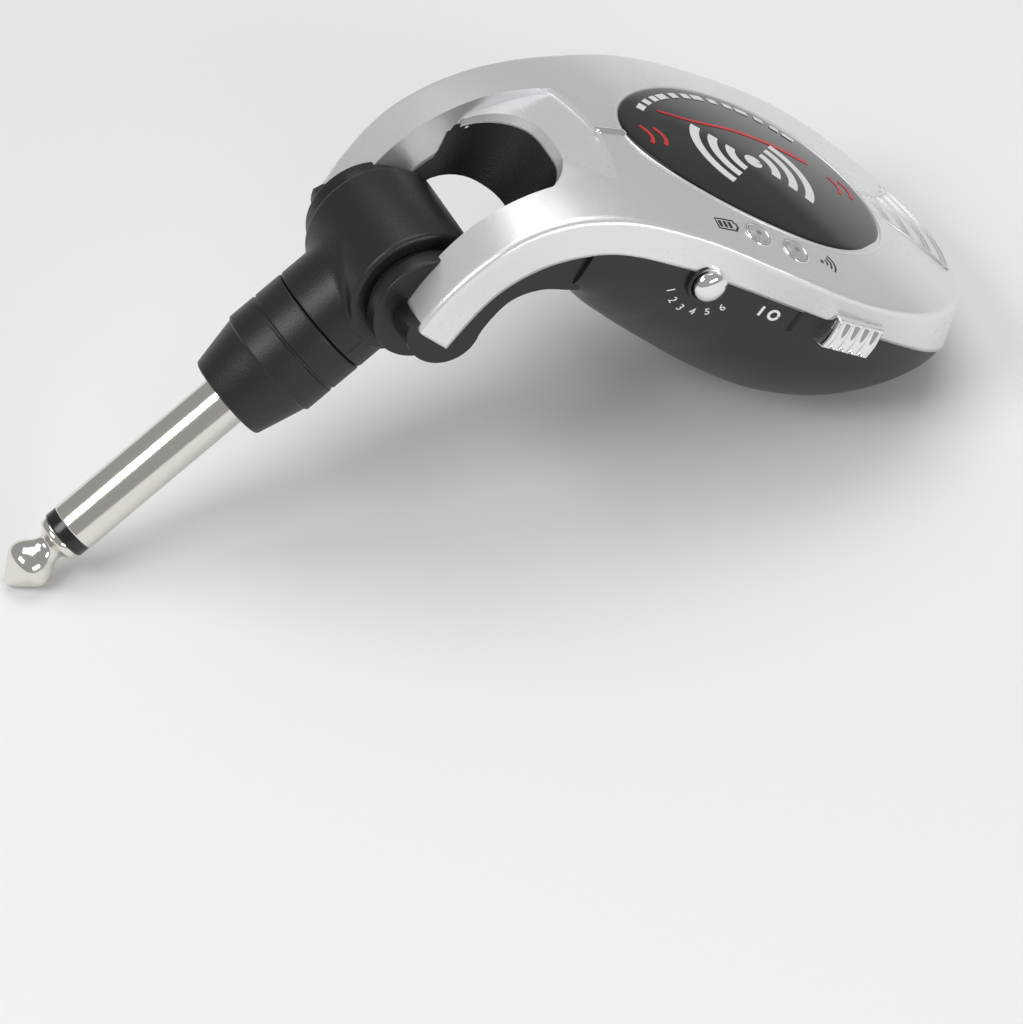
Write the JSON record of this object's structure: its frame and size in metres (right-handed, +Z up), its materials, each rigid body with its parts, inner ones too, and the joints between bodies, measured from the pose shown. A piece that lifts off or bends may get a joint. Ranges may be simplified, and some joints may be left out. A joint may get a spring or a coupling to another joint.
{
  "type": "wireless guitar transmitter",
  "caption": "Pocket wireless guitar transmitter: drop-shaped body with a forked hinge and a folding quarter-inch jack plug.",
  "frame": {"origin": "centre of the bounding box's footprint, on the surface that the folded transmitter stands on", "axes": "+X from the plug tip towards the tail of the body, +Y towards the charging-socket side, +Z up"},
  "size_m": [0.1226, 0.0474, 0.0446],
  "materials": {
    "silver_cover": "fine satin silver paint on plastic",
    "black_cover": "satin black plastic",
    "badge_plate": "gloss black badge with light and red print",
    "adhesive": "thin foam tape",
    "chrome_parts": "polished chrome plate",
    "nickel_plug": "polished nickel plate on brass",
    "ring_plastic": "black insulator",
    "clear_lens": "clear light guide",
    "board_green": "solder-masked board",
    "chip_black": "moulded chips and switch bodies",
    "tinned_steel": "tinned sheet and screws",
    "brass_parts": "brass pins, nut and lugs",
    "washer_plastic": "slippery plastic washer",
    "cell_foil": "foil pouch of the battery",
    "cable_black": "black cable jacket",
    "cable_red": "red cable jacket",
    "ceramic": "ceramic chips",
    "silver_mark": "small raised rib"
  },
  "bodies": {
    "body": {"top_cover": "silver_cover", "marker_rib": "silver_mark", "bottom_cover": "black_cover", "badge": "badge_plate", "badge_tape": "adhesive", "battery_light_lens": "clear_lens", "audio_light_lens": "clear_lens", "cover_screws": "tinned_steel", "circuit_board": "board_green", "radio_shield": "tinned_steel", "radio_chip": "chip_black", "audio_chip": "chip_black", "charge_chip": "chip_black", "timing_crystal": "tinned_steel", "aerial_chip": "ceramic", "board_capacitors": "ceramic", "status_lights": "ceramic", "board_screws": "tinned_steel", "charging_socket": "tinned_steel", "socket_tongue": "chip_black", "socket_bezel": "black_cover", "signal_connector": "ceramic", "signal_cable_body": "cable_black", "channel_switch": "chip_black", "slide_switch": "chip_black", "battery_cell": "cell_foil", "battery_foam": "adhesive", "battery_guard_board": "board_green", "battery_connector": "ceramic", "battery_lead_red": "cable_red", "battery_lead_black": "cable_black", "hinge_bush_left": "brass_parts", "hinge_bush_right": "brass_parts", "friction_washer_left": "washer_plastic", "friction_washer_right": "washer_plastic"},
    "plug": {"knuckle_front": "black_cover", "knuckle_rear": "black_cover", "knuckle_screws": "tinned_steel", "hinge_pin_left": "brass_parts", "hinge_pin_right": "brass_parts", "boot": "black_cover", "plug_sleeve": "nickel_plug", "plug_tip": "nickel_plug", "tip_ring": "ring_plastic", "insulating_tube": "ring_plastic", "sleeve_nut": "brass_parts", "tip_terminal": "brass_parts", "sleeve_terminal": "brass_parts", "signal_cable_plug": "cable_black"},
    "button": {"channel_button": "chrome_parts", "channel_switch_plunger": "washer_plastic"},
    "slider": {"power_slider": "chrome_parts", "slider_skirt": "black_cover", "switch_lever": "washer_plastic"}
  },
  "joints": [
    {"name": "plug_fold", "type": "hinge", "parent": "body", "child": "plug", "pos_m": [-0.01089, 0, 0.03254], "axis": [0, 1, 0], "range_deg": [-100, 120]},
    {"name": "channel_press", "type": "slide", "parent": "body", "child": "button", "axis": [0, 1, 0], "range_m": [0, 0.0004], "stiffness_N_per_m": 1500, "springref_m": -0.0005},
    {"name": "power_slide", "type": "slide", "parent": "body", "child": "slider", "axis": [-0.8271, 0, 0.5621], "range_m": [0, 0.0032]}
  ]
}
